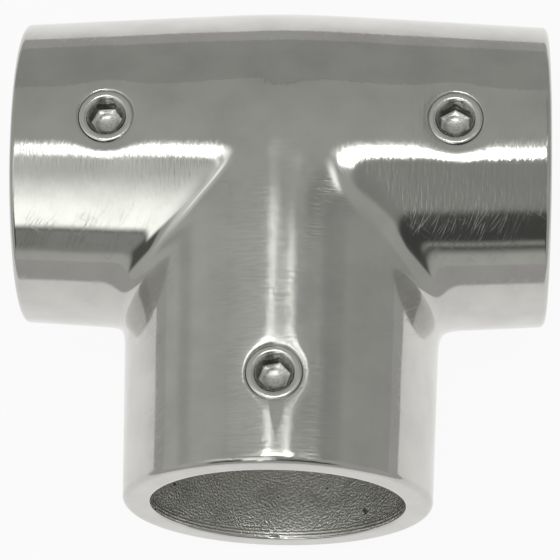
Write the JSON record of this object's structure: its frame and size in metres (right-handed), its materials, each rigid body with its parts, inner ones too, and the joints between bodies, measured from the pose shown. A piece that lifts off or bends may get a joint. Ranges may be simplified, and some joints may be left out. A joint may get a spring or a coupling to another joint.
{
  "type": "tube clamp tee fitting",
  "caption": "Polished stainless tee that joins a rail tube passing through it to a tube at right angles, locked by hexagon-socket set screws.",
  "frame": {"origin": "where the axes of the run's bore and the stem's bore cross", "axes": "+X along the run, -Y from the run down the stem, +Z out of the face with the set screws; the fitting lies on its back, as it was pictured"},
  "size_m": [0.054, 0.0525, 0.0336],
  "materials": {
    "polished_stainless": "polished",
    "screw_stainless": "gloss"
  },
  "bodies": {
    "root": {"tee_body": "polished_stainless", "set_screw_left": "screw_stainless", "set_screw_right": "screw_stainless", "set_screw_stem": "screw_stainless"}
  },
  "joints": []
}
